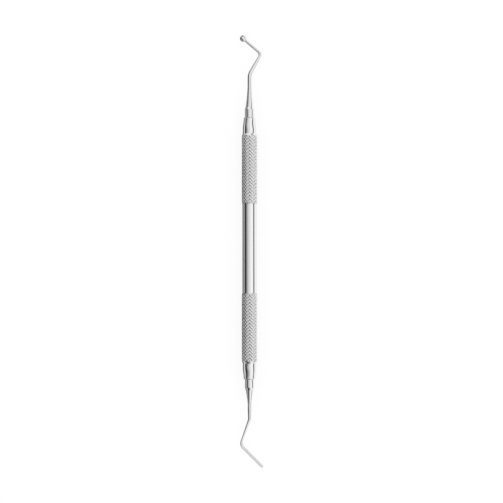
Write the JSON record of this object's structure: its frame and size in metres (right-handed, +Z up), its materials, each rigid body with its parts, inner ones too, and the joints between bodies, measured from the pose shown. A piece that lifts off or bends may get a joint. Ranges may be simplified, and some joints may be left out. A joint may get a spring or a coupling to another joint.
{
  "type": "ball burnisher",
  "caption": "Double-ended dental hand instrument: a knurled steel handle with a bent ball burnisher at one end and a bent flat blade at the other.",
  "frame": {"origin": "on the underside of the handle's smooth middle band, midway along it", "axes": "+Y along the handle towards the ball end, +Z up from the surface that the instrument lies on, +X to the right seen from above with the ball end away"},
  "size_m": [0.0095, 0.1759, 0.0064],
  "materials": {
    "handle_steel": "polished",
    "insert_steel": "polished"
  },
  "bodies": {
    "root": {"handle": "handle_steel", "ball_end": "insert_steel", "blade_end": "insert_steel"}
  },
  "joints": []
}
